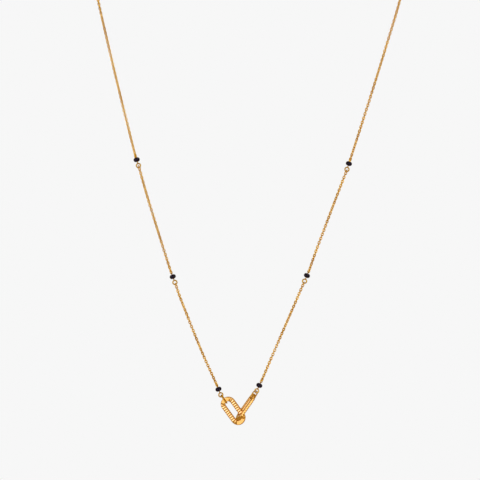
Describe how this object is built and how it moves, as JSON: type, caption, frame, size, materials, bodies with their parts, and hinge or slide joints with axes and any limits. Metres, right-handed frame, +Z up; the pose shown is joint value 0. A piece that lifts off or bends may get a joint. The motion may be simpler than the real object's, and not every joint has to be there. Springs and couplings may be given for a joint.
{
  "type": "mangalsutra",
  "caption": "Fine gold cable chain with small black glass beads and two ribbed oval links that pass through each other at the front; worn round the neck.",
  "frame": {"origin": "middle of the neck hollow, at the height of the nape: halfway between the plane that the front hangs in and the clasp at the nape", "axes": "+Z up, along the hanging front; the front faces -Y and the clasp at the nape is at +Y; +X is to the right as seen from the front"},
  "size_m": [0.1156, 0.0566, 0.1762],
  "materials": {
    "gold_links": "polished yellow gold",
    "gold_wire": "polished yellow gold wire",
    "gold_chain": "polished yellow gold links",
    "black_glass": "opaque black glass, polished"
  },
  "bodies": {
    "root": {"oval_link_left": "gold_links", "oval_link_right": "gold_links", "jump_ring_left": "gold_wire", "jump_ring_right": "gold_wire", "bead_left_high": "black_glass", "bead_left_mid": "black_glass", "bead_left_low": "black_glass", "bead_right_high": "black_glass", "bead_right_mid": "black_glass", "bead_right_low": "black_glass", "bead_pin_left_high": "gold_wire", "bead_pin_left_mid": "gold_wire", "bead_pin_left_low": "gold_wire", "bead_pin_right_high": "gold_wire", "bead_pin_right_mid": "gold_wire", "bead_pin_right_low": "gold_wire", "chain_left_low": "gold_chain", "chain_left_mid": "gold_chain", "chain_left_back": "gold_chain", "chain_right_low": "gold_chain", "chain_right_mid": "gold_chain", "chain_right_back": "gold_chain", "clasp": "gold_wire"}
  },
  "joints": []
}
